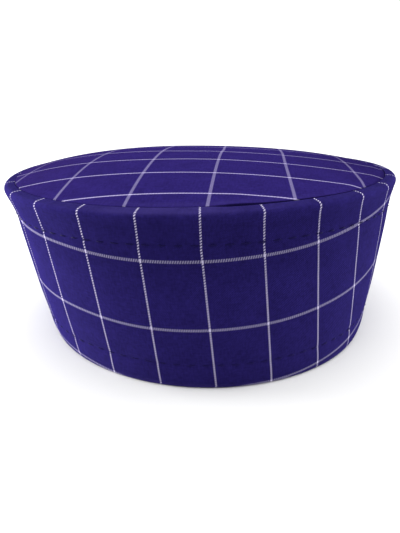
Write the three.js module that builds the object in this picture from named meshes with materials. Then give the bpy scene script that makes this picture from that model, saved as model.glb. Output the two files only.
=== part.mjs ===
// A round, brimless cloth cap: an upright side band and a domed top panel sewn into it.
// Millimetres, +Z up. The origin is the middle of the lower opening and the front faces -Y.
import * as THREE from "three";

// Driving dimensions
const wallThickness = 2.4; // stiffened cloth of the band
const panelThickness = 2.2; // doubled cloth of the top
const hemRound = 0.6; // radius of the fold along the lower edge
const rimRadius = 102.8; // mean outside radius of the rolled rim
const rimHeight = 83.2; // top of the lip
const rimRoll = 2.6; // radius of the roll at the rim
const rollStart = -Math.PI / 12; // the wall still leans outwards where the roll begins
const lipWidth = 5.3; // from the outside of the rim to the seam
const seamDip = 0.7; // how far the cloth dips into the seam
const seamTurnDown = 4.5; // seam allowance, turned down inside
const allowanceThickness = 1.4;
const seamGap = 0.3; // between the band and the top panel
const domeRise = 10.1; // middle of the top above the seam
// The dome swells more towards the left, the front, both sides and one diagonal.
const domeSwell = { left: 1.8, front: 0.85, sides: 2.9, diagonal: 2.8 };
const rimTilt = -0.9; // the rim's height at its right-hand side against its middle
const rimWarp = 0.8; // rise of the rim at the front right and back left, and its fall between them

// Cloth settles out of round: sections of the outer wall, from the hem up to the rim.
// oval lengthens front to back and narrows side to side, skew does the same across the diagonals,
// and lean moves the section to the right.
const wallSections = [
  { at: "lower edge", height: 0, radius: 93.0, oval: 0.8, skew: 1.9, lean: 0 },
  { at: "hem fold", height: 3.3, radius: 94.0, oval: 0.7, skew: 1.8, lean: 0 },
  { at: "lower stitching", height: 13, radius: 95.2, oval: 0.4, skew: 1.4, lean: 0 },
  { at: "below the middle", height: 27, radius: 96.9, oval: -0.2, skew: 0.7, lean: 0 },
  { at: "middle", height: 44, radius: 98.5, oval: -0.8, skew: 0, lean: 0 },
  { at: "above the middle", height: 58, radius: 99.7, oval: -1.3, skew: -0.6, lean: 0 },
  { at: "upper stitching", height: 68.7, radius: 100.5, oval: -1.7, skew: -1.1, lean: -0.1 },
  { at: "flare", height: 74.5, radius: 101.4, oval: -2.1, skew: -1.5, lean: -0.4 },
  { at: "rim", height: rimHeight - rimRoll, radius: rimRadius, oval: -2.2, skew: -1.7, lean: -0.6 },
];

// Fineness of the meshes
const stepsAround = 72;
const stepsInRoll = 5;
const domeRings = 9;
const ringCrowding = 0.8; // below 1, the rings crowd towards the seam

// Worked out from the sizes above
const seamRadius = rimRadius - lipWidth;
const seamHeight = rimHeight - seamDip;
const panelRadius = seamRadius - seamGap;

// A column of the table at any height, in a straight line between rows
function sectionValue(column, height) {
  const above = wallSections.findIndex((row) => row.height >= height);
  if (above === 0) {
    return wallSections[0][column];
  }
  if (above === -1) {
    return wallSections.at(-1)[column];
  }
  const low = wallSections[above - 1];
  const high = wallSections[above];
  const share = (height - low.height) / (high.height - low.height);
  return THREE.MathUtils.lerp(low[column], high[column], share);
}

// The closed outline of the band's wall, hem and lip, in radius and height
function bandOutline() {
  const outline = new THREE.Path();
  const [edge, ...above] = wallSections;
  const rows = above.slice(0, -1); // the roll gives the rim's own points
  outline.moveTo(edge.radius - hemRound, 0);
  outline.lineTo(edge.radius, hemRound);
  for (const row of rows) {
    outline.lineTo(row.radius, row.height);
  }
  outline.absarc(rimRadius - rimRoll, rimHeight - rimRoll, rimRoll, rollStart, Math.PI / 2);
  outline.lineTo(seamRadius, seamHeight);
  outline.lineTo(seamRadius, seamHeight - seamTurnDown);
  // inside face, back down to the hem
  for (const row of rows.toReversed()) {
    outline.lineTo(row.radius - wallThickness, row.height);
  }
  outline.lineTo(edge.radius - wallThickness, hemRound);
  outline.lineTo(edge.radius - wallThickness + hemRound, 0);
  outline.closePath();
  return outline.getPoints(stepsInRoll);
}

// Height of the dome at a share of the panel's radius, level at the middle and sloping at the seam
const domeHeight = (share) => seamHeight + domeRise * (1 - share ** 2);

// What the uneven swelling adds to the dome, at shares of the panel's radius to the right and to the back
function unevenSwell(right, back) {
  const { left, front, sides, diagonal } = domeSwell;
  const uneven = sides * right ** 2 + diagonal * right * back - left * right - front * back;
  return uneven * Math.max(0, 1 - right ** 2 - back ** 2);
}

// The outline of the top panel, from the middle of its lower face round its edge to the middle of its upper face
function panelOutline() {
  const outline = [];
  const innerRadius = panelRadius - allowanceThickness;
  const turnedEdge = seamHeight - seamTurnDown;
  const ringRadius = (ring, outside) => outside * (ring / domeRings) ** ringCrowding;
  for (let ring = 0; ring <= domeRings; ring += 1) {
    const radius = ringRadius(ring, innerRadius);
    outline.push(new THREE.Vector2(radius, domeHeight(radius / panelRadius) - panelThickness));
  }
  outline.push(new THREE.Vector2(innerRadius, turnedEdge));
  outline.push(new THREE.Vector2(panelRadius, turnedEdge));
  for (let ring = domeRings; ring >= 0; ring -= 1) {
    const radius = ringRadius(ring, panelRadius);
    outline.push(new THREE.Vector2(radius, domeHeight(radius / panelRadius)));
  }
  return outline;
}

// Turns an outline into a body of revolution about Z, then takes it out of round as the sections say
// and lifts it by any swelling of its own
function sewnRound(outline, swell = () => 0) {
  const geometry = new THREE.LatheGeometry(outline, stepsAround);
  geometry.rotateX(Math.PI / 2);
  const point = new THREE.Vector3();
  const positions = geometry.attributes.position;
  for (let index = 0; index < positions.count; index += 1) {
    point.fromBufferAttribute(positions, index);
    const radius = Math.hypot(point.x, point.y);
    const angle = Math.atan2(point.x, -point.y); // from the front, towards the right
    const spread = Math.min(1, radius / panelRadius); // nothing moves at the middle of the top
    const oval = sectionValue("oval", point.z) * Math.cos(2 * angle);
    const skew = sectionValue("skew", point.z) * Math.sin(2 * angle);
    const lean = sectionValue("lean", point.z) * spread;
    const moved = radius + spread * (oval + skew);
    const climb = spread * Math.min(1, point.z / rimHeight);
    const settled = climb * (rimTilt * Math.sin(angle) + rimWarp * Math.sin(2 * angle));
    const lift = settled + swell(point.x / panelRadius, point.y / panelRadius);
    positions.setXYZ(index, moved * Math.sin(angle) + lean, -moved * Math.cos(angle), point.z + lift);
  }
  geometry.computeVertexNormals();
  return geometry;
}

const bandCloth = new THREE.MeshStandardMaterial({ color: "#2b2270", roughness: 0.9, metalness: 0 });
const panelCloth = new THREE.MeshStandardMaterial({ color: "#332a78", roughness: 0.9, metalness: 0 });

const sideBand = new THREE.Mesh(sewnRound(bandOutline()), bandCloth);
sideBand.name = "side_band";

const topPanel = new THREE.Mesh(sewnRound(panelOutline(), unevenSwell), panelCloth);
topPanel.name = "top_panel";

const cap = new THREE.Group();
cap.add(sideBand, topPanel);

export default cap;
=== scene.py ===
import math

import bpy
import numpy as np
from mathutils import Matrix, Vector


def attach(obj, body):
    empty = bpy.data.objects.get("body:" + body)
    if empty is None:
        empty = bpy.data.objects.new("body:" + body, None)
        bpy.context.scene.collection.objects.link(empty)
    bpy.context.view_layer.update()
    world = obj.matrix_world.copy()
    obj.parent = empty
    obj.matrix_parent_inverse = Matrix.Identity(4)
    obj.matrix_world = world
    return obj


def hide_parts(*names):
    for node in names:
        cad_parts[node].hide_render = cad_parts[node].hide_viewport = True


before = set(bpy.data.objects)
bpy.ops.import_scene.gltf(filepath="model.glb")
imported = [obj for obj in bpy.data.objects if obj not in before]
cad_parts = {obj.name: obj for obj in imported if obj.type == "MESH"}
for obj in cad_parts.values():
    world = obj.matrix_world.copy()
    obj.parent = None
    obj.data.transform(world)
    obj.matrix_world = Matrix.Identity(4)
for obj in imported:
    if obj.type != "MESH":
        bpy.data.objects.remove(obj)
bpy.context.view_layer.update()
print("frame loaded:", sorted(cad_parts))

mm = 0.001  # shapes are worked out in millimetres and made in metres
slopeStep = 0.1  # slopes are measured over this length

# Shape of the cap, as its solids have it
cap = {
    "rimRadius": 102.8,  # mean outside radius of the rolled rim
    "rimHeight": 83.2,  # top of the lip
    "rollStart": -math.pi / 12,  # the wall still leans outwards where the rim folds over
    "lipWidth": 5.3,  # from the outside of the rim to the seam
    "seamDip": 0.7,
    "seamTurnDown": 4.5,  # seam allowance, turned down inside
    "turnDownRows": (0.33, 0.67, 1),  # rows of points, as shares of the way down
    "seamGap": 0.3,
    "rimTilt": -0.9,  # the rim's height at its right-hand side against its middle
    "rimWarp": 0.8,  # rise of the rim at the front right and back left, and its fall between them
}
# Sections of the outer wall: oval lengthens front to back and narrows side to side, skew does the same across
# the diagonals, and lean moves the section to the right
wallSections = [
    {"height": 0, "radius": 93.0, "oval": 0.8, "skew": 1.9, "lean": 0},
    {"height": 3.3, "radius": 94.0, "oval": 0.7, "skew": 1.8, "lean": 0},
    {"height": 13, "radius": 95.2, "oval": 0.4, "skew": 1.4, "lean": 0},
    {"height": 27, "radius": 96.9, "oval": -0.2, "skew": 0.7, "lean": 0},
    {"height": 44, "radius": 98.5, "oval": -0.8, "skew": 0, "lean": 0},
    {"height": 58, "radius": 99.7, "oval": -1.3, "skew": -0.6, "lean": 0},
    {"height": 68.7, "radius": 100.5, "oval": -1.7, "skew": -1.1, "lean": -0.1},
    {"height": 74.5, "radius": 101.4, "oval": -2.1, "skew": -1.5, "lean": -0.4},
    {"height": 78.7, "radius": 102.8, "oval": -2.2, "skew": -1.7, "lean": -0.6},
]
stitchHeights = {"lower": 13.0, "upper": 68.7}
seamRadius = cap["rimRadius"] - cap["lipWidth"]
seamHeight = cap["rimHeight"] - cap["seamDip"]
panelRadius = seamRadius - cap["seamGap"]
turnedEdge = seamHeight - cap["seamTurnDown"]  # lower edge of the seam allowances


# 0 up to the start, then rising evenly to 1 over the reach
def ramp(value, start, reach):
    return np.clip((value - start) / reach, 0, 1)


# Softens both ends of a ramp
def eased(share):
    return share * share * (3 - 2 * share)


# 1 at the middle, falling away on both sides
def bell(value, middle, spread):
    return np.exp(-(((value - middle) / spread) ** 2))


# A smooth curve between two values, where each end's climb is its slope carried over the whole way
def smoothCurve(share, start, startClimb, end, endClimb):
    leaving = (1 + 2 * share) * (1 - share) ** 2 * start + share * (1 - share) ** 2 * startClimb
    arriving = share * share * (3 - 2 * share) * end + share * share * (share - 1) * endClimb
    return leaving + arriving


# A column of the table at any height, on a smooth curve through its rows
def sectionValue(name, height):
    knots = np.array([row["height"] for row in wallSections], float)
    values = np.array([row[name] for row in wallSections], float)
    slopes = np.gradient(values, knots)
    at = np.clip(height, knots[0], knots[-1])
    low = np.clip(np.searchsorted(knots, at) - 1, 0, len(knots) - 2)
    high = low + 1
    span = knots[high] - knots[low]
    share = (at - knots[low]) / span
    return smoothCurve(share, values[low], span * slopes[low], values[high], span * slopes[high])


# Takes a round shape out of round, the way the cloth has settled
def settle(angle, radius, height):
    spread = np.minimum(1, radius / panelRadius)  # nothing moves at the middle of the top
    oval = sectionValue("oval", height) * np.cos(2 * angle)
    skew = sectionValue("skew", height) * np.sin(2 * angle)
    lean = sectionValue("lean", height) * spread
    moved = radius + spread * (oval + skew)
    climb = spread * np.clip(height / cap["rimHeight"], 0, 1)
    lift = climb * (cap["rimTilt"] * np.sin(angle) + cap["rimWarp"] * np.sin(2 * angle))
    return np.stack([moved * np.sin(angle) + lean, -moved * np.cos(angle), height + lift], -1)


def addObject(name, data):
    made = bpy.data.objects.new(name, data)
    bpy.context.scene.collection.objects.link(made)
    return made


# A closed cloth piece from rows of points, with its cloth map, its marks of paler cloth and painted
# highlights, and its marks of painted shade.
# The map has one column more than the points, for the far side of the closing column.
def clothPiece(name, rows, clothMap, marks, poles=None):
    count, around = rows.shape[:2]
    points = list(map(tuple, rows.reshape(-1, 3) * mm))
    faces, corners = [], []
    for i in range(count if poles is None else count - 1):
        up = (i + 1) % count
        for j in range(around):
            nextColumn = (j + 1) % around
            faces.append((i * around + j, i * around + nextColumn, up * around + nextColumn, up * around + j))
            corners += [clothMap[i, j], clothMap[i, j + 1], clothMap[up, j + 1], clothMap[up, j]]
    if poles is not None:
        first, last = len(points), len(points) + 1
        points += [tuple(pole * mm) for pole, _ in poles]
        top = (count - 1) * around
        for j in range(around):
            nextColumn = (j + 1) % around
            faces.append((first, nextColumn, j))
            corners += [poles[0][1], clothMap[0, j + 1], clothMap[0, j]]
            faces.append((top + j, top + nextColumn, last))
            corners += [clothMap[-1, j], clothMap[-1, j + 1], poles[1][1]]
    mesh = bpy.data.meshes.new(name)
    mesh.from_pydata(points, [], faces)
    layer = mesh.uv_layers.new(name="clothMap")
    layer.uv.foreach_set("vector", np.array(corners, np.float32).ravel())
    for mark, values in marks.items():
        whole = np.zeros(len(points), np.float32)
        whole[: values.size] = values.ravel()
        mesh.attributes.new(mark, "FLOAT", "POINT").data.foreach_set("value", whole)
    mesh.shade_smooth()
    return addObject(name, mesh)


# Side band
band = {
    "wall": 2.4,
    "columns": 400,
    "seamColumns": 5,  # more columns on each side of the back seam, close together
    "seamColumnStep": 0.25,
    "wallStep": 0.9,  # between rows of points outside
    "insideStep": 1.6,
    "hemStep": 1.2,
    "rowGap": 0.3,  # least step from one stretch of rows to the next
    "hemRound": 1.3,  # height of the rounded fold along the lower edge
    "hemRows": 10,
    "hemTurn": 15.6,  # the hem is turned up this far inside
    "hemLap": 0.6,
    "hemLapRise": 0.5,  # height over which the turned edge reaches its full lap
    "hemTaken": 2,  # cloth that the fold takes up
    "pinchDepth": 0.3,  # the wall is drawn in along each row of stitches
    "pinchSpread": 1.2,
    "backSeamDepth": 0.55,
    "backSeamSpread": 0.55,
    "waveFoot": 12,  # the waves die out over this height at the lower edge
    "waveTop": 10,  # and over this one at the rim
    # the hem fold is pale from use, and also painted lighter as a painted highlight
    "hemWearAndHighlightSpread": 1.6,
    "backSeamWear": 0.5,
    "backSeamWearSpread": 1.2,
    "lipHighlight": 0.75,  # painted highlight: the flat lip at the front is painted pale where it faces the light
    "lipHighlightMiddle": math.radians(-8),
    "lipHighlightSpread": math.radians(22),
    "lipHighlightEdge": 0.8,
    "dipShade": 0.45,  # width of the shade where the lip dips into the seam
    "upperShade": 0.24,  # painted shade: the upper part of the front wall is painted darker
    "upperShadeFrom": 46,
    "upperShadeReach": 16,
    "upperShadeFade": 4,
    "cut": (0.65, 0.18),  # flat size of the curved strip with its hem and allowances, in metres
    "cutArea": 0.069,
}
# The rim, from its fold to the seam: a flat lip behind a tight fold at the front and back, rounder at the
# sides
rim = {
    "flareHeight": 74.5,  # the wall ends and the rim begins
    "lipStart": 80.0,
    "crest": 82.1,  # mean height of the lip
    "crestFront": 0.45,  # more of it at the front, and less at the back
    "crestRight": 0.15,
    "crestTight": 0.38,  # it stands higher where the seam is drawn tight
    "frontFold": 1.9,
    "sideFold": 2.6,
    "frontTilt": math.radians(14),
    "tightEdge": 0.16,  # radius of the lip's edge where it dips into the seam
    "openEdge": 0.7,
    "flareRows": 7,
    "foldRows": 13,
    "lipRows": (0.35, 0.7),  # as shares of the way to the seam
    "edgeRows": 9,
}
# The seam gapes a little at the front right, less at the front left, and is drawn tight elsewhere
seam = {
    "rightFrom": -0.02,  # in sines of the angle from the front
    "rightReach": 0.14,
    "closedFrom": 0.3,  # in cosines of the angle from the front
    "closedReach": 0.4,
    "leftGape": 0.25,
    "leftPlace": -0.2,
    "leftSpread": 0.3,
}
# Slow unevenness of the stiffened cloth: waves round the cap, how far each leans with height, and its depth
bandWaves = [
    {"waves": 5, "start": 0.6, "lean": 0.010, "depth": 0.16},
    {"waves": 8, "start": 2.3, "lean": -0.022, "depth": 0.13},
    {"waves": 13, "start": 4.1, "lean": 0.035, "depth": 0.08},
]
# How the checked cloth lies on the band: a strip cut from a cone, its middle at the front
bandLay = {
    "coneTurn": 0.159,  # sine of the cone's half angle
    "coneRadius": 93.7,
    "coneSlope": 0.1,
    "coneFrom": 1.1,  # angle where the cloth begins to leave the wall's own shape for the even cone
    "coneReach": 0.9,
    "narrowStart": 4.42,
    "lean": 0.0825,  # the upright lines lean to the left as far as the bend
    "bendHeight": 67,
    "bendEnd": 79,
    "bendLean": -0.03,
    "tilt": 2.7,  # the level lines climb to the right
    "rightDraw": 0.008,  # both sides are stretched a little
    "leftDraw": 0.004,
    "rightLean": 1.4,  # high on the right, the upright lines lean back to the right
    "rightLeanFrom": 50,
    "rightLeanReach": 25,
    "rightLeanPlace": 1.0,
    "rightLeanSpread": 0.45,
}
# Places where the cloth was pulled up or down as it was sewn, so that the level lines rise or fall there
bandPulls = [
    {"place": -0.68, "spread": 0.25, "rise": 1.0},
    {"place": 0.4, "spread": 0.17, "rise": -0.45},
]


def bandColumns():
    even = np.linspace(-math.pi, math.pi, band["columns"] + 1)
    besideSeam = np.arange(1, band["seamColumns"] + 1) * band["seamColumnStep"] / cap["rimRadius"]
    return np.unique(np.concatenate([even, besideSeam - math.pi, math.pi - besideSeam]))


def fromBackSeam(angle):
    return (math.pi - np.abs(angle)) * cap["rimRadius"]


# How far the wall's surface is moved outwards: slow waves, stitch rows and the seam at the back
def bandRelief(angle, height, skin):
    waves = sum(
        row["depth"] * np.sin(row["waves"] * angle + row["start"] + row["lean"] * height) for row in bandWaves
    )
    settled = ramp(height, 0, band["waveFoot"]) * ramp(cap["rimHeight"] - height, 0, band["waveTop"])
    pinch = sum(bell(height, row, band["pinchSpread"]) for row in stitchHeights.values())
    backSeam = bell(fromBackSeam(angle), 0, band["backSeamSpread"])
    drawn = band["pinchDepth"] * pinch + band["backSeamDepth"] * backSeam * np.clip(skin, 0, 1)
    return waves * settled - skin * drawn


# 1 where the seam gapes widest, 0 where it is tight
def seamGape(angle):
    right = ramp(np.sin(angle), seam["rightFrom"], seam["rightReach"])
    right = eased(right * ramp(np.cos(angle), seam["closedFrom"], seam["closedReach"]))
    return np.maximum(right, seam["leftGape"] * bell(angle, seam["leftPlace"], seam["leftSpread"]))


# The rim's rows of radius and height at each column, from the wall over the lip and down into the seam
def rimRows(angle):
    side = np.sin(angle) ** 2
    gape = seamGape(angle)
    fold = rim["frontFold"] + (rim["sideFold"] - rim["frontFold"]) * side
    edge = rim["tightEdge"] + (rim["openEdge"] - rim["tightEdge"]) * gape
    tilt = rim["frontTilt"] * (1 - side)
    crest = rim["crest"] + rim["crestFront"] * np.cos(angle) + rim["crestRight"] * np.sin(angle)
    crest = crest + rim["crestTight"] * (1 - gape)
    edgeRadius, edgeHeight = seamRadius + edge, crest - edge
    innerRadius, innerHeight = edgeRadius + edge * np.sin(tilt), edgeHeight + edge * np.cos(tilt)
    foldRadius = cap["rimRadius"] - fold
    outerRadius = foldRadius + fold * np.sin(tilt)
    outerHeight = innerHeight - np.tan(tilt) * (outerRadius - innerRadius)
    foldHeight = outerHeight - fold * np.cos(tilt)
    startRadius = foldRadius + fold * math.cos(cap["rollStart"])
    startHeight = foldHeight + fold * math.sin(cap["rollStart"])
    flare = rim["flareHeight"]
    flareRadius = sectionValue("radius", flare)
    flareSlope = (flareRadius - sectionValue("radius", flare - slopeStep)) / slopeStep
    span = startHeight - flare
    leaning = -span * math.tan(cap["rollStart"])
    rows = []
    for share in np.linspace(0, 1, rim["flareRows"]):
        radius = smoothCurve(share, flareRadius, span * flareSlope, startRadius, leaning)
        rows.append((radius, flare + share * span))
    for share in np.linspace(0, 1, rim["foldRows"] + 1)[1:]:
        turn = cap["rollStart"] + share * (math.pi / 2 - tilt - cap["rollStart"])
        rows.append((foldRadius + fold * np.cos(turn), foldHeight + fold * np.sin(turn)))
    for share in rim["lipRows"]:
        radius = outerRadius + share * (innerRadius - outerRadius)
        rows.append((radius, outerHeight + share * (innerHeight - outerHeight)))
    for share in np.linspace(0, 1, rim["edgeRows"]):
        turn = math.pi / 2 - tilt + share * (math.pi / 2 + tilt)
        rows.append((edgeRadius + edge * np.cos(turn), edgeHeight + edge * np.sin(turn)))
    for share in cap["turnDownRows"]:
        rows.append((np.full_like(angle, seamRadius), edgeHeight + share * (turnedEdge - edgeHeight)))
    return np.array(rows)


# The band's outline at each column: radius, height, place along the cloth, and side (1 outside, -1 inside)
def bandOutline(angle):
    rows = []

    def addRow(radius, height, along, skin):
        rows.append(np.broadcast_arrays(radius, height, along, skin, angle)[:4])

    for height in np.arange(band["hemRound"], rim["flareHeight"] - band["rowGap"], band["wallStep"]):
        addRow(sectionValue("radius", height), height, height, 1)
    over = rimRows(angle)
    steps = np.hypot(*np.diff(over, axis=0).transpose(1, 0, 2))
    along = rim["flareHeight"] + np.concatenate([np.zeros((1, len(angle))), np.cumsum(steps, 0)])
    for (radius, height), place in zip(over, along):
        addRow(radius, height, place, 1)
    for height in np.arange(rim["flareHeight"], band["hemTurn"] + band["rowGap"], -band["insideStep"]):
        addRow(sectionValue("radius", height) - band["wall"], height, height, -1)
    # the hem's own edge stands in from the inside face
    for height in np.arange(band["hemTurn"], band["hemRound"], -band["hemStep"]):
        lap = band["hemLap"] * min(1, (band["hemTurn"] - height) / band["hemLapRise"])
        addRow(sectionValue("radius", height) - band["wall"] - lap, height, -height - band["hemTaken"], -1)
    half = (band["wall"] + band["hemLap"]) / 2
    for turn in np.linspace(math.pi, 2 * math.pi, band["hemRows"], endpoint=False):
        radius = sectionValue("radius", band["hemRound"]) - half + half * math.cos(turn)
        addRow(radius, band["hemRound"] * (1 + math.sin(turn)), band["hemRound"] * math.cos(turn), 1)
    return np.array(rows).transpose(1, 0, 2)


# Radius that the cloth was cut to: the wall's own in front, an even cone at the back
def cutRadius(angle, along):
    cone = bandLay["coneRadius"] + bandLay["coneSlope"] * along
    own = sectionValue("radius", np.abs(along))
    back = eased(ramp(np.abs(angle), bandLay["coneFrom"], bandLay["coneReach"]))
    return cone + (own - cone) * (1 - back)


# The band's cloth laid flat: millimetres across its upright lines and across its level lines
def bandMap(angle, along):
    turn = bandLay["coneTurn"]
    radius = cutRadius(angle, along)
    leaning = np.minimum(along, bandLay["bendHeight"]) * bandLay["lean"]
    bend = np.clip(along, bandLay["bendHeight"], bandLay["bendEnd"]) - bandLay["bendHeight"]
    drawn = 1 - bandLay["rightDraw"] * ramp(angle, 0, 1) + bandLay["leftDraw"] * ramp(-angle, 0, 1)
    across = radius * np.sin(turn * angle) / turn * drawn + leaning + bend * bandLay["bendLean"]
    high = ramp(along, bandLay["rightLeanFrom"], bandLay["rightLeanReach"])
    high = high * bell(angle, bandLay["rightLeanPlace"], bandLay["rightLeanSpread"])
    across = across - bandLay["rightLean"] * high
    up = along + radius / turn * (np.cos(turn * angle) - 1) - bandLay["tilt"] * angle
    for pull in bandPulls:
        up = up - pull["rise"] * bell(angle, pull["place"], pull["spread"])
    return np.stack([across - bandLay["narrowStart"], up], -1)


# Paler cloth from use along the hem fold and the back seam, with a painted highlight on the hem's fold and on
# the front of the lip
def bandWearAndHighlight(angle, radius, height, skin):
    hem = bell(height, 0, band["hemWearAndHighlightSpread"])
    backSeam = band["backSeamWear"] * bell(fromBackSeam(angle), 0, band["backSeamWearSpread"])
    onLip = (height > rim["lipStart"]) * ramp(cap["rimRadius"] - radius, 0, band["lipHighlightEdge"])
    lip = band["lipHighlight"] * bell(angle, band["lipHighlightMiddle"], band["lipHighlightSpread"]) * onLip
    return np.clip(hem + lip + backSeam, 0, 1) * (skin > 0)


# Painted shade: the cloth is painted darker where the lip dips into the seam, and on the upper part of the
# front
def bandShade(angle, radius, height, skin):
    fromSeam = radius - seamRadius
    dip = ramp(band["dipShade"] - fromSeam, 0, band["dipShade"]) * (height > turnedEdge) * seamGape(angle)
    upper = eased(ramp(height, band["upperShadeFrom"], band["upperShadeReach"]))
    onWall = ramp(rim["lipStart"] - height, 0, band["upperShadeFade"]) * (fromSeam > band["dipShade"])
    dark = band["upperShade"] * upper * onWall * np.clip(np.cos(angle), 0, 1) ** 2
    return np.maximum(dip, dark) * (skin > 0)


def makeBand():
    columns = bandColumns()
    angle = columns[:-1]
    radius, height, along, skin = bandOutline(columns)
    clothMap = bandMap(columns, along)
    radius, height, skin = radius[:, :-1], height[:, :-1], skin[:, :-1]
    points = settle(angle, radius + bandRelief(angle, height, skin), height)
    marks = {
        "wearAndHighlightMark": bandWearAndHighlight(angle, radius, height, skin),
        "seamShade": bandShade(angle, radius, height, skin),
    }
    return clothPiece("sideBand", points, clothMap, marks)


# Top panel
panel = {
    "thickness": 2.2,
    "allowance": 1.4,
    "foot": 82.9,  # where the dome would meet the seam if its edge weren't rolled down
    "rise": 9.7,
    "riseLeft": 1.8,  # the dome swells more to the left, the front, the sides and one diagonal
    "riseFront": 0.85,
    "riseSides": 2.9,
    "riseDiagonal": 2.8,
    "tightEdge": 0.2,  # radius of the edge where it rolls down into the seam
    "openEdge": 0.9,
    "puff": 0.33,  # the edge stands up a little beside the widest part of the seam
    "puffPlace": math.radians(8.5),
    "puffSpread": math.radians(4.5),
    "puffReach": 12,
    "dip": 0.8,  # the edge dips towards the seam at the right
    "dipPlace": 0.95,
    "dipSpread": 0.5,
    "dipReach": 3.0,
    "edgeHighlight": 0.45,  # painted highlight: painted pale where the dome turns down to the seam, most at the front
    "highlightPlace": 2.2,
    "highlightSpread": 1.6,
    "highlightNarrowing": 8,
    "paintedSideShade": 0.6,  # painted shade: the cloth is painted darker beside the seam at both sides
    "sideShadeReach": 42,
    "sideShadeNarrowing": 4,
    "shadeReach": 0.8,  # share of the rolled edge that lies in the seam's shade
    "columns": 360,
    "rings": 84,
    "insideRings": 36,
    "ringCrowding": 0.8,  # below 1, the rings crowd towards the seam
    "turnUpRows": 4,
    "edgeRows": 12,
    "cut": (0.204, 0.204),  # flat size of the disc with its allowance, in metres
    "cutArea": 0.0327,
}
# How the checked cloth lies on the top: turned a little, its wide lines wavering
panelLay = {
    "turn": math.radians(-5.66),
    "stretch": 0.953,
    "narrowStart": -84.65,
    "wideStart": 12.4,
    "waver": 0.86,
    "waverMiddle": -4,
    "waverLength": 150,
    "closing": 0.0007,  # the wide lines on the right close up towards the back
    "closingFrom": -50,
    "closingRange": (-50, 60),
}


def domeHeight(radius, angle):
    right, back = radius / panelRadius * np.sin(angle), -radius / panelRadius * np.cos(angle)
    swell = panel["rise"] - panel["riseLeft"] * right - panel["riseFront"] * back
    swell = swell + panel["riseSides"] * right ** 2 + panel["riseDiagonal"] * right * back
    fromEdge = panelRadius - radius
    puff = bell(angle, panel["puffPlace"], panel["puffSpread"]) * bell(fromEdge, 0, panel["puffReach"])
    dip = bell(angle, panel["dipPlace"], panel["dipSpread"]) * bell(fromEdge, 0, panel["dipReach"])
    dome = panel["foot"] + swell * (1 - right ** 2 - back ** 2)
    return dome + panel["puff"] * puff - panel["dip"] * dip


# The edge is rounder where the seam gapes
def panelEdge(angle):
    return panel["tightEdge"] + (panel["openEdge"] - panel["tightEdge"]) * seamGape(angle)


# The panel's outline at each column, from the middle of its lower face to the middle of its upper face:
# radius, height and place along the cloth from the middle
def panelOutline(angle):
    inner = panelRadius - panel["allowance"]
    rows = []

    def addRow(radius, height, along):
        rows.append(np.broadcast_arrays(radius, height, along, angle)[:3])

    for ring in range(1, panel["insideRings"] + 1):
        radius = inner * (ring / panel["insideRings"]) ** panel["ringCrowding"]
        addRow(radius, domeHeight(radius, angle) - panel["thickness"], radius)
    rolled = panelEdge(angle)
    roundStart = panelRadius - rolled
    shoulder = domeHeight(roundStart, angle)
    slope = (domeHeight(roundStart - slopeStep, angle) - shoulder) / slopeStep
    startTurn = math.pi / 2 - np.arctan(slope)
    edgeTop = shoulder - rolled * np.sin(startTurn)
    lowerFace = domeHeight(inner, angle) - panel["thickness"]
    for share in cap["turnDownRows"]:
        addRow(inner, lowerFace + share * (turnedEdge - lowerFace), inner)
    for share in np.linspace(0, 1, panel["turnUpRows"], endpoint=False):
        height = turnedEdge + share * (edgeTop - turnedEdge)
        addRow(panelRadius, height, roundStart + rolled * startTurn + edgeTop - height)
    for share in np.linspace(0, 1, panel["edgeRows"]):
        turn = share * startTurn
        radius = roundStart + rolled * (np.cos(turn) - np.cos(startTurn)) / (1 - np.cos(startTurn))
        addRow(radius, edgeTop + rolled * np.sin(turn), roundStart + rolled * (startTurn - turn))
    for ring in range(panel["rings"] - 1, 0, -1):
        radius = roundStart * (ring / panel["rings"]) ** panel["ringCrowding"]
        addRow(radius, domeHeight(radius, angle), radius)
    return np.array(rows).transpose(1, 0, 2)


# The top's cloth laid flat: millimetres across its narrow lines and across its wide lines
def panelMap(x, y):
    cosine, sine = math.cos(panelLay["turn"]), math.sin(panelLay["turn"])
    across, back = cosine * x + sine * y, cosine * y - sine * x
    turns = 2 * math.pi * (across - panelLay["waverMiddle"]) / panelLay["waverLength"]
    across = across + panelLay["waver"] * np.cos(turns) - panelLay["wideStart"]
    towardsBack = np.clip(y - panelLay["closingFrom"], *panelLay["closingRange"])
    closing = 1 + panelLay["closing"] * towardsBack * (across > 0)
    return panelLay["stretch"] * np.stack([back - panelLay["narrowStart"], across * closing], -1)


# Shade in the seam and at both sides, on the upper face only
def panelShade(angle, radius):
    fromEdge = panelRadius - radius
    drop = fromEdge / panelEdge(angle)  # 1 where the edge begins to roll down, 0 at the seam
    shade = ramp(panel["shadeReach"] - drop, 0, panel["shadeReach"] / 2) * seamGape(angle)
    sideShade = bell(fromEdge, 0, panel["sideShadeReach"]) * np.sin(angle) ** panel["sideShadeNarrowing"]
    outside = np.arange(len(radius))[:, None] > panel["insideRings"]
    return np.maximum(shade, panel["paintedSideShade"] * sideShade) * outside


# Painted highlight along the dome's edge where it turns down to the seam, most at the front
def panelHighlight(angle, radius):
    front = np.clip(np.cos(angle), 0, 1) ** panel["highlightNarrowing"]
    return panel["edgeHighlight"] * bell(panelRadius - radius, panel["highlightPlace"], panel["highlightSpread"]) * front


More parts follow.
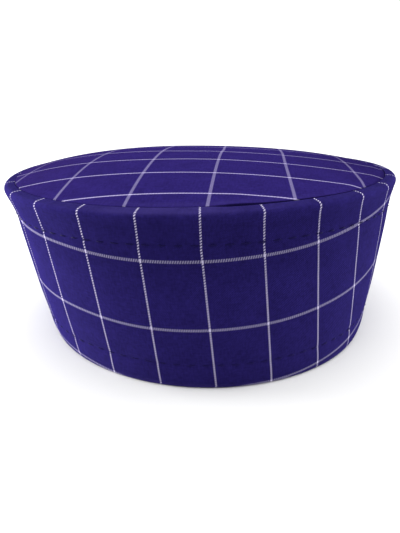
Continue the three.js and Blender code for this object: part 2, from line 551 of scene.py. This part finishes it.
def makePanel():
    columns = np.linspace(-math.pi, math.pi, panel["columns"] + 1)
    angle = columns[:-1]
    radius, height, along = panelOutline(columns)
    clothMap = panelMap(along * np.sin(columns), -along * np.cos(columns))
    radius, height = radius[:, :-1], height[:, :-1]
    points = settle(angle, radius, height)
    middle = panelMap(np.zeros(1), np.zeros(1))[0]
    summit = domeHeight(0, 0)
    poles = [(np.array([0, 0, summit - panel["thickness"]]), middle), (np.array([0, 0, summit]), middle)]
    marks = {"seamShade": panelShade(angle, radius), "wearAndHighlightMark": panelHighlight(angle, radius)}
    return clothPiece("topPanel", points, clothMap, marks, poles)


# Stitch rows
stitches = {
    "pitch": 6.5,
    "length": 4.1,
    "shortest": 0.86,  # shares of that length
    "longest": 1.1,
    "threadRadius": 0.27,
    "rise": 0.26,
    "sink": 0.34,
    "wander": 0.05,  # most that a stitch turns out of line, in radians
    "seed": 7,
    "pathPoints": 720,
    "threadSteps": 8,
    "threadSides": 8,
    "slopeReach": 2.5,  # the wall's slope is taken this far above and below the row
}


def addNode(tree, kind, links=None, **settings):
    node = tree.nodes.new(kind)
    for name, value in settings.items():
        setattr(node, name, value)
    for name, value in (links or {}).items():
        if isinstance(value, bpy.types.NodeSocket):
            tree.links.new(value, node.inputs[name])
        else:
            node.inputs[name].default_value = value
    return node


def mathNode(tree, operation, *values):
    return addNode(tree, "ShaderNodeMath", dict(enumerate(values)), operation=operation).outputs[0]


def vectorNode(tree, **parts):
    return addNode(tree, "ShaderNodeCombineXYZ", parts).outputs[0]


def randomVector(tree, least, most, seed):
    limits = {0: least, 1: most, "Seed": seed}
    return addNode(tree, "FunctionNodeRandomValue", limits, data_type="FLOAT_VECTOR").outputs["Value"]


# One short thread, bowed over the cloth with both ends sunk into it
def stitchThread(tree, given):
    half = mathNode(tree, "MULTIPLY", given["Length"], 0.5)
    back = mathNode(tree, "MULTIPLY", half, -1.0)
    under = mathNode(tree, "MULTIPLY", given["Sink"], -1.0)
    above = mathNode(tree, "MULTIPLY_ADD", given["Rise"], 2.0, given["Sink"])
    bow = {
        "Resolution": stitches["threadSteps"],
        "Start": vectorNode(tree, X=back, Z=under),
        "Middle": vectorNode(tree, Z=above),
        "End": vectorNode(tree, X=half, Z=under),
    }
    line = addNode(tree, "GeometryNodeCurveQuadraticBezier", bow).outputs["Curve"]
    section = {"Resolution": stitches["threadSides"], "Radius": given["Thread Radius"]}
    ring = addNode(tree, "GeometryNodeCurvePrimitiveCircle", section).outputs["Curve"]
    body = {"Curve": line, "Profile Curve": ring, "Fill Caps": True}
    return addNode(tree, "GeometryNodeCurveToMesh", body).outputs["Mesh"]


# Each stitch lies along the row, its bow outwards, and wanders a little
def stitchTurn(tree, given):
    tangent = tree.nodes.new("GeometryNodeInputTangent").outputs["Tangent"]
    outward = addNode(tree, "GeometryNodeInputNamedAttribute", {"Name": "outward"}, data_type="FLOAT_VECTOR")
    alongRow = addNode(tree, "FunctionNodeAlignRotationToVector", {"Vector": tangent}, axis="X")
    facing = {"Rotation": alongRow.outputs["Rotation"], "Vector": outward.outputs["Attribute"]}
    upright = addNode(tree, "FunctionNodeAlignRotationToVector", facing, axis="Z", pivot_axis="X")
    most = vectorNode(tree, Z=given["Wander"])
    least = addNode(tree, "ShaderNodeVectorMath", {0: most, 3: -1.0}, operation="SCALE").outputs["Vector"]
    drift = randomVector(tree, least, most, given["Seed"])
    turn = {"Rotation": upright.outputs["Rotation"], "Rotate By": drift}
    return addNode(tree, "FunctionNodeRotateRotation", turn, rotation_space="LOCAL").outputs["Rotation"]


# The thread, repeated along the row's path
def stitchTree():
    tree = bpy.data.node_groups.new("stitchRow", "GeometryNodeTree")
    face = tree.interface
    face.new_socket("Path", in_out="INPUT", socket_type="NodeSocketGeometry")
    for name in ("Pitch", "Length", "Thread Radius", "Rise", "Sink", "Wander"):
        face.new_socket(name, in_out="INPUT", socket_type="NodeSocketFloat")
    face.new_socket("Seed", in_out="INPUT", socket_type="NodeSocketInt")
    face.new_socket("Thread", in_out="INPUT", socket_type="NodeSocketMaterial")
    face.new_socket("Stitches", in_out="OUTPUT", socket_type="NodeSocketGeometry")
    given = tree.nodes.new("NodeGroupInput").outputs
    curve = addNode(tree, "GeometryNodeMeshToCurve", {"Mesh": given["Path"]}).outputs["Curve"]
    spacing = {"Curve": curve, "Length": given["Pitch"]}
    spaced = addNode(tree, "GeometryNodeResampleCurve", spacing, mode="LENGTH").outputs["Curve"]
    shortest, longest = (stitches["shortest"], 1.0, 1.0), (stitches["longest"], 1.0, 1.0)
    placing = {
        "Points": spaced,
        "Instance": stitchThread(tree, given),
        "Rotation": stitchTurn(tree, given),
        "Scale": randomVector(tree, shortest, longest, given["Seed"]),
    }
    placed = addNode(tree, "GeometryNodeInstanceOnPoints", placing).outputs["Instances"]
    real = addNode(tree, "GeometryNodeRealizeInstances", {"Geometry": placed}).outputs["Geometry"]
    dyed = addNode(tree, "GeometryNodeSetMaterial", {"Geometry": real, "Material": given["Thread"]})
    result = tree.nodes.new("NodeGroupOutput")
    tree.links.new(dyed.outputs["Geometry"], result.inputs["Stitches"])
    return tree


# A point of the band's face at a height, on its outer (skin 1) or inner (skin -1) side
def bandFace(angle, height, skin):
    inset = 0 if skin > 0 else band["wall"] + (band["hemLap"] if height < band["hemTurn"] else 0)
    radius = sectionValue("radius", height) - inset + bandRelief(angle, height, skin)
    return settle(angle, radius, np.full_like(angle, height))


def makeStitchRow(name, height, skin, tree, material):
    angle = np.linspace(-math.pi, math.pi, stitches["pathPoints"], endpoint=False)
    points = bandFace(angle, height, skin)
    reach = stitches["slopeReach"]
    sideways = np.roll(points, -1, 0) - np.roll(points, 1, 0)
    upwards = bandFace(angle, height + reach, skin) - bandFace(angle, height - reach, skin)
    outward = skin * np.cross(sideways, upwards)
    outward /= np.linalg.norm(outward, axis=1, keepdims=True)
    mesh = bpy.data.meshes.new(name)
    count = len(angle)
    mesh.from_pydata(list(map(tuple, points * mm)), [(i, (i + 1) % count) for i in range(count)], [])
    attribute = mesh.attributes.new("outward", "FLOAT_VECTOR", "POINT")
    attribute.data.foreach_set("vector", outward.astype(np.float32).ravel())
    piece = addObject(name, mesh)
    modifier = piece.modifiers.new("stitchRow", "NODES")
    modifier.node_group = tree
    given = {
        "Pitch": stitches["pitch"] * mm,
        "Length": stitches["length"] * mm,
        "Thread Radius": stitches["threadRadius"] * mm,
        "Rise": stitches["rise"] * mm,
        "Sink": stitches["sink"] * mm,
        "Wander": stitches["wander"],
        "Seed": stitches["seed"],
        "Thread": material,
    }
    for item in tree.interface.items_tree:
        if item.in_out == "INPUT" and item.name in given:
            modifier[item.identifier] = given[item.name]
    sewn = bpy.data.meshes.new_from_object(piece.evaluated_get(bpy.context.evaluated_depsgraph_get()))
    piece.modifiers.clear()
    piece.data = sewn
    sewn.shade_smooth()
    return piece


# Finishes
cloth = {
    # paler indigo for cloth pale from use and for painted highlights
    "wearAndHighlightColour": (0.038, 0.028, 0.13, 1),
    "paintedShadeColour": (0.002, 0.0014, 0.012, 1),  # painted shade colour for the seams, the upper front and the top's sides
    "paintedShadeShare": 0.8,
    "patchScale": 0.09,  # soft patches of uneven dye
    "patchDetail": 4.0,
    "patchRoughness": 0.6,
    "patchTone": 0.3,
    "slubs": 1.3,  # uneven yarns in a millimetre
    "slubRun": 0.35,
    "slubDetail": 2.0,
    "slubTone": 0.35,
    "dyeTone": (0.38, 0.62),  # tones that take the darkest and the palest indigo
    "mattTone": (0.3, 0.7),  # tones that take the least and the most roughness
    "roughness": (0.78, 0.92),
    "sheenRoughness": 0.45,
    "yarnPitch": 0.42,
    "yarnRelief": 0.35,  # against the twill's ribs
    "twillPitch": 0.85,
    "lineRelief": 0.8,
    "weaveDepth": 0.06,
    "weaveBump": 0.6,
    "creaseScale": 0.16,
    "creaseDetail": 3.0,
    "creaseDepth": 0.12,
    "creaseBump": 0.5,
}
# The top's indigo is painted paler than the band's: painted light on the same cloth, where the top faces the
# light
bandFinish = {
    "indigo": (0.0094, 0.0063, 0.0555, 1),
    "indigoPale": (0.0150, 0.0103, 0.0885, 1),
    "yarn": (0.45, 0.41, 0.57, 1),
    "narrowStrength": 0.87,
    "narrowLowest": 0.05,
    "wideStrength": 0.44,
    "wideLowest": 0.1,
    "crossStrength": 1.25,
    "sheen": 0.022,
    "sheenTint": (0.55, 0.5, 1.0, 1),
}
topFinish = {
    "indigo": (0.0118, 0.0074, 0.0665, 1),
    "indigoPale": (0.0188, 0.0121, 0.1055, 1),
    "yarn": (0.51, 0.455, 0.71, 1),
    "narrowStrength": 0.61,
    "narrowLowest": 0.75,
    "wideStrength": 0.31,
    "wideLowest": 0.3,
    "crossStrength": 0.75,
    "sheen": 0.02,
    "sheenTint": (0.5, 0.25, 1.0, 1),
}
# The pale lines of the check: their spacing, width, and the slashes that the weave breaks them into
narrowLine = {"pitch": 24.9, "width": 0.78, "slash": 1.17, "slant": -0.6}
wideLine = {"pitch": 31.05, "width": 1.25, "slash": 1.0, "slant": -0.42}
lineEdge = (0.62, 0.4)  # a line's edge fades between these shares of its width
slashEdge = (-0.5, 0.4)  # and a slash between these heights of its wave
# Dark sewing thread with a twist. The lower row's has faded more.
threads = {
    "lower": {"dark": (0.007, 0.0047, 0.041, 1), "pale": (0.011, 0.0076, 0.0645, 1)},
    "upper": {"dark": (0.005, 0.0035, 0.03, 1), "pale": (0.0085, 0.006, 0.05, 1)},
}
threadTwist = {"scale": 900.0, "wander": 1.5, "depth": 0.06, "bump": 0.5, "roughness": 0.7, "gloss": 0.02}


def mapRange(tree, value, fromRange, toRange=(0.0, 1.0), blend="LINEAR"):
    ends = {
        "Value": value,
        "From Min": fromRange[0],
        "From Max": fromRange[1],
        "To Min": toRange[0],
        "To Max": toRange[1],
    }
    return addNode(tree, "ShaderNodeMapRange", ends, interpolation_type=blend).outputs["Result"]


def noiseNode(tree, place, scale, detail, roughness=0.5):
    cloud = {"Vector": place, "Scale": scale, "Detail": detail, "Roughness": roughness}
    return addNode(tree, "ShaderNodeTexNoise", cloud).outputs[0]


# A wave of a given length along a value
def waveNode(tree, value, length):
    return mathNode(tree, "SINE", mathNode(tree, "MULTIPLY", value, 2 * math.pi / length))


def bumpNode(tree, height, strength, depth, **under):
    relief = {"Strength": strength, "Distance": depth * mm, "Height": height, **under}
    return addNode(tree, "ShaderNodeBump", relief).outputs["Normal"]


def mixColour(tree, share, first, second):
    node = addNode(tree, "ShaderNodeMix", {"Factor": share}, data_type="RGBA")
    for socket, value in ((node.inputs[6], first), (node.inputs[7], second)):
        if isinstance(value, bpy.types.NodeSocket):
            tree.links.new(value, socket)
        else:
            socket.default_value = value
    return node.outputs[2]


def newMaterial(name):
    material = bpy.data.materials.new(name)
    material.use_nodes = True
    material.node_tree.nodes.clear()
    return material, material.node_tree


def finishMaterial(tree, surface):
    shader = addNode(tree, "ShaderNodeBsdfPrincipled", surface)
    addNode(tree, "ShaderNodeOutputMaterial", {"Surface": shader.outputs[0]})


# A woven line at a place: whether it lies on the line, and its share of pale yarn there, broken into slashes
# that keep at least the lowest share
def wovenLine(tree, across, along, line, lowest):
    pitch, width = line["pitch"], line["width"]
    gap = mathNode(tree, "ABSOLUTE", mathNode(tree, "WRAP", across, pitch / 2, -pitch / 2))
    inside = mapRange(tree, gap, [width * share for share in lineEdge], blend="SMOOTHSTEP")
    slanted = mathNode(tree, "MULTIPLY_ADD", across, line["slant"], along)
    wave = waveNode(tree, slanted, line["slash"])
    broken = mapRange(tree, wave, slashEdge, (lowest, 1.0), blend="SMOOTHSTEP")
    return inside, mathNode(tree, "MULTIPLY", inside, broken)


# Narrow lines one way and wide ones the other, with every yarn pale where two cross
def wovenCheck(tree, across, along, finish):
    onNarrow, narrow = wovenLine(tree, across, along, narrowLine, finish["narrowLowest"])
    onWide, wide = wovenLine(tree, along, across, wideLine, finish["wideLowest"])
    narrow = mathNode(tree, "MULTIPLY", narrow, finish["narrowStrength"])
    wide = mathNode(tree, "MULTIPLY", wide, finish["wideStrength"])
    onBoth = mathNode(tree, "MULTIPLY", onNarrow, onWide)
    crossing = mathNode(tree, "MULTIPLY", onBoth, finish["crossStrength"])
    return mathNode(tree, "MAXIMUM", mathNode(tree, "MAXIMUM", narrow, wide), crossing)


# Uneven dye: soft patches, and slubs that follow the yarns both ways
def dyeTone(tree, place, patches):
    tone = mathNode(tree, "MULTIPLY", patches, cloth["patchTone"])
    slubs, run = cloth["slubs"], cloth["slubRun"]
    for stretch in ((slubs, run, 1.0), (run, slubs, 1.0)):
        slubPlace = addNode(tree, "ShaderNodeMapping", {"Vector": place, "Scale": stretch}).outputs[0]
        uneven = noiseNode(tree, slubPlace, 1.0, cloth["slubDetail"])
        tone = mathNode(tree, "MULTIPLY_ADD", uneven, cloth["slubTone"], tone)
    return tone


# Single yarns both ways and the twill's slanted ribs, with the pale yarns standing proud, over faint creases
def weaveNormal(tree, place, across, along, lines):
    yarnsAcross, yarnsAlong = (waveNode(tree, way, cloth["yarnPitch"]) for way in (across, along))
    yarns = mathNode(tree, "ADD", yarnsAcross, yarnsAlong)
    ribs = waveNode(tree, mathNode(tree, "ADD", across, along), cloth["twillPitch"])
    weave = mathNode(tree, "MULTIPLY_ADD", yarns, cloth["yarnRelief"], ribs)
    proud = mathNode(tree, "MULTIPLY_ADD", lines, cloth["lineRelief"], weave)
    fine = bumpNode(tree, proud, cloth["weaveBump"], cloth["weaveDepth"])
    creases = noiseNode(tree, place, cloth["creaseScale"], cloth["creaseDetail"])
    return bumpNode(tree, creases, cloth["creaseBump"], cloth["creaseDepth"], Normal=fine)


# Indigo cotton with pale woven lines, on the piece's own cloth map in millimetres
def clothMaterial(name, finish):
    material, tree = newMaterial(name)
    place = addNode(tree, "ShaderNodeUVMap", uv_map="clothMap").outputs["UV"]
    parts = addNode(tree, "ShaderNodeSeparateXYZ", {"Vector": place}).outputs
    across, along = parts["X"], parts["Y"]
    lines = wovenCheck(tree, across, along, finish)
    patches = noiseNode(tree, place, cloth["patchScale"], cloth["patchDetail"], cloth["patchRoughness"])
    tone = dyeTone(tree, place, patches)
    dyed = mixColour(tree, mapRange(tree, tone, cloth["dyeTone"]), finish["indigo"], finish["indigoPale"])
    # paler cloth from use, with painted highlights on the lip, the hem and the top's edge
    wearAndHighlight = addNode(tree, "ShaderNodeAttribute", attribute_name="wearAndHighlightMark").outputs["Fac"]
    wornAndHighlighted = mixColour(tree, mathNode(tree, "MULTIPLY", wearAndHighlight, patches), dyed, cloth["wearAndHighlightColour"])
    lined = mixColour(tree, lines, wornAndHighlighted, finish["yarn"])
    # painted shade in the seams, on the upper front and at the top's sides
    shade = addNode(tree, "ShaderNodeAttribute", attribute_name="seamShade").outputs["Fac"]
    shaded = mixColour(tree, mathNode(tree, "MULTIPLY", shade, cloth["paintedShadeShare"]), lined, cloth["paintedShadeColour"])
    surface = {
        "Base Color": shaded,
        "Roughness": mapRange(tree, tone, cloth["mattTone"], cloth["roughness"]),
        "Normal": weaveNormal(tree, place, across, along, lines),
        "Specular IOR Level": 0.0,
        "Sheen Weight": finish["sheen"],
        "Sheen Roughness": cloth["sheenRoughness"],
        "Sheen Tint": finish["sheenTint"],
    }
    finishMaterial(tree, surface)
    return material


def threadMaterial(row):
    material, tree = newMaterial(f"{row}Thread")
    place = tree.nodes.new("ShaderNodeTexCoord").outputs["Object"]
    turns = {"Vector": place, "Scale": threadTwist["scale"], "Distortion": threadTwist["wander"]}
    twist = addNode(tree, "ShaderNodeTexWave", turns, bands_direction="DIAGONAL").outputs["Fac"]
    surface = {
        "Base Color": mixColour(tree, twist, threads[row]["dark"], threads[row]["pale"]),
        "Roughness": threadTwist["roughness"],
        "Normal": bumpNode(tree, twist, threadTwist["bump"], threadTwist["depth"]),
        "Specular IOR Level": threadTwist["gloss"],
    }
    finishMaterial(tree, surface)
    return material


sideBand = makeBand()
sideBand.data.materials.append(clothMaterial("bandCloth", bandFinish))
print("side band:", len(sideBand.data.polygons), "faces")
topPanel = makePanel()
topPanel.data.materials.append(clothMaterial("topCloth", topFinish))
print("top panel:", len(topPanel.data.polygons), "faces")

rowTree = stitchTree()
stitchRows = []
for row, height in stitchHeights.items():
    thread = threadMaterial(row)
    for side, skin in (("Outside", 1), ("Inside", -1)):
        stitchRows.append(makeStitchRow(f"{row}Stitches{side}", height, skin, rowTree, thread))
print("stitch rows:", [len(row.data.polygons) for row in stitchRows], "faces")

for piece in (sideBand, topPanel, *stitchRows):
    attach(piece, "root")
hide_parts("side_band")
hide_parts("top_panel")

# Camera at the photograph's place, in millimetres and degrees
photoView = {
    "place": (0, -258.123, 122.432),
    "yaw": -0.604,
    "pitch": -21.323,
    "roll": -1.218,
    "lens": 29.99,
    "sensor": 36,
    "nearest": 10,
}


def placeCamera():
    yaw, pitch, roll = (math.radians(photoView[name]) for name in ("yaw", "pitch", "roll"))
    forward = Vector((math.sin(yaw) * math.cos(pitch), math.cos(yaw) * math.cos(pitch), math.sin(pitch)))
    level = Vector((math.cos(yaw), -math.sin(yaw), 0))
    above = level.cross(forward)
    right = math.cos(roll) * level + math.sin(roll) * above
    up = math.cos(roll) * above - math.sin(roll) * level
    data = bpy.data.cameras.new("camera")
    data.lens = photoView["lens"]
    data.sensor_width = photoView["sensor"]
    data.clip_start = photoView["nearest"] * mm
    camera = addObject("camera", data)
    turn = Matrix((right, up, -forward)).transposed().to_4x4()
    camera.matrix_world = Matrix.Translation(Vector(photoView["place"]) * mm) @ turn
    bpy.context.scene.camera = camera


# Soft studio light: a broad skylight, a lamp at each side, and a white room, in metres and degrees
lamps = [
    {"name": "leftSide", "place": (-1.1, 0.25, 0.1), "wide": 0.6, "tall": 0.18, "power": 46.0},
    {"name": "rightSide", "place": (1.1, 0.25, 0.1), "wide": 0.6, "tall": 0.18, "power": 20.0},
]
room = {
    "lampAim": (0, 0, 0.05),
    "walls": (1, 1, 1, 1),
    "brightness": 0.91,
    "seen": 1.1,  # the walls of the room show as plain white
    "skylight": 3.0,
    "skyWidth": 70,
    "skyTilt": 5,  # towards the front
    "floorRadius": 6.0,
    "floorSides": 96,
    "floorDrop": 0.00005,  # just under the hem
    "floorCloud": 6.0,
    "floorDetail": 3.0,
    "floorTone": (0.64, 0.64, 0.64, 1),
    "floorToneLow": (0.62, 0.62, 0.62, 1),
    "floorRoughness": 0.9,
    "floorGloss": 0.1,
}


def lightScene():
    for lamp in lamps:
        data = bpy.data.lights.new(lamp["name"], "AREA")
        data.shape = "RECTANGLE"
        data.size, data.size_y = lamp["wide"], lamp["tall"]
        data.energy = lamp["power"]
        light = addObject(lamp["name"], data)
        place = Vector(lamp["place"])
        light.location = place
        light.rotation_euler = (Vector(room["lampAim"]) - place).to_track_quat("-Z", "Y").to_euler()
    sky = bpy.data.lights.new("skylight", "SUN")
    sky.energy = room["skylight"]
    sky.angle = math.radians(room["skyWidth"])
    addObject("skylight", sky).rotation_euler = (math.radians(room["skyTilt"]), 0, 0)
    world = bpy.data.worlds.new("whiteRoom")
    world.use_nodes = True
    tree = world.node_tree
    walls = tree.nodes["Background"]
    walls.inputs["Color"].default_value = room["walls"]
    seen = addNode(tree, "ShaderNodeLightPath").outputs["Is Camera Ray"]
    brighter = room["seen"] - room["brightness"]
    strength = mathNode(tree, "MULTIPLY_ADD", seen, brighter, room["brightness"])
    tree.links.new(strength, walls.inputs["Strength"])
    bpy.context.scene.world = world
    bpy.context.scene.view_settings.view_transform = "Standard"


def makeFloor():
    material, tree = newMaterial("paleFloor")
    place = tree.nodes.new("ShaderNodeTexCoord").outputs["Object"]
    cloud = noiseNode(tree, place, room["floorCloud"], room["floorDetail"])
    surface = {
        "Base Color": mixColour(tree, cloud, room["floorToneLow"], room["floorTone"]),
        "Roughness": room["floorRoughness"],
        "Specular IOR Level": room["floorGloss"],
    }
    finishMaterial(tree, surface)
    turns = np.linspace(0, 2 * math.pi, room["floorSides"], endpoint=False)
    reach, drop = room["floorRadius"], room["floorDrop"]
    points = [(reach * math.cos(turn), reach * math.sin(turn), -drop) for turn in turns]
    mesh = bpy.data.meshes.new("floor")
    mesh.from_pydata(points, [], [tuple(range(len(points)))])
    mesh.materials.append(material)
    floor = addObject("floor", mesh)


placeCamera()
lightScene()
makeFloor()
print("camera, lights and floor placed")
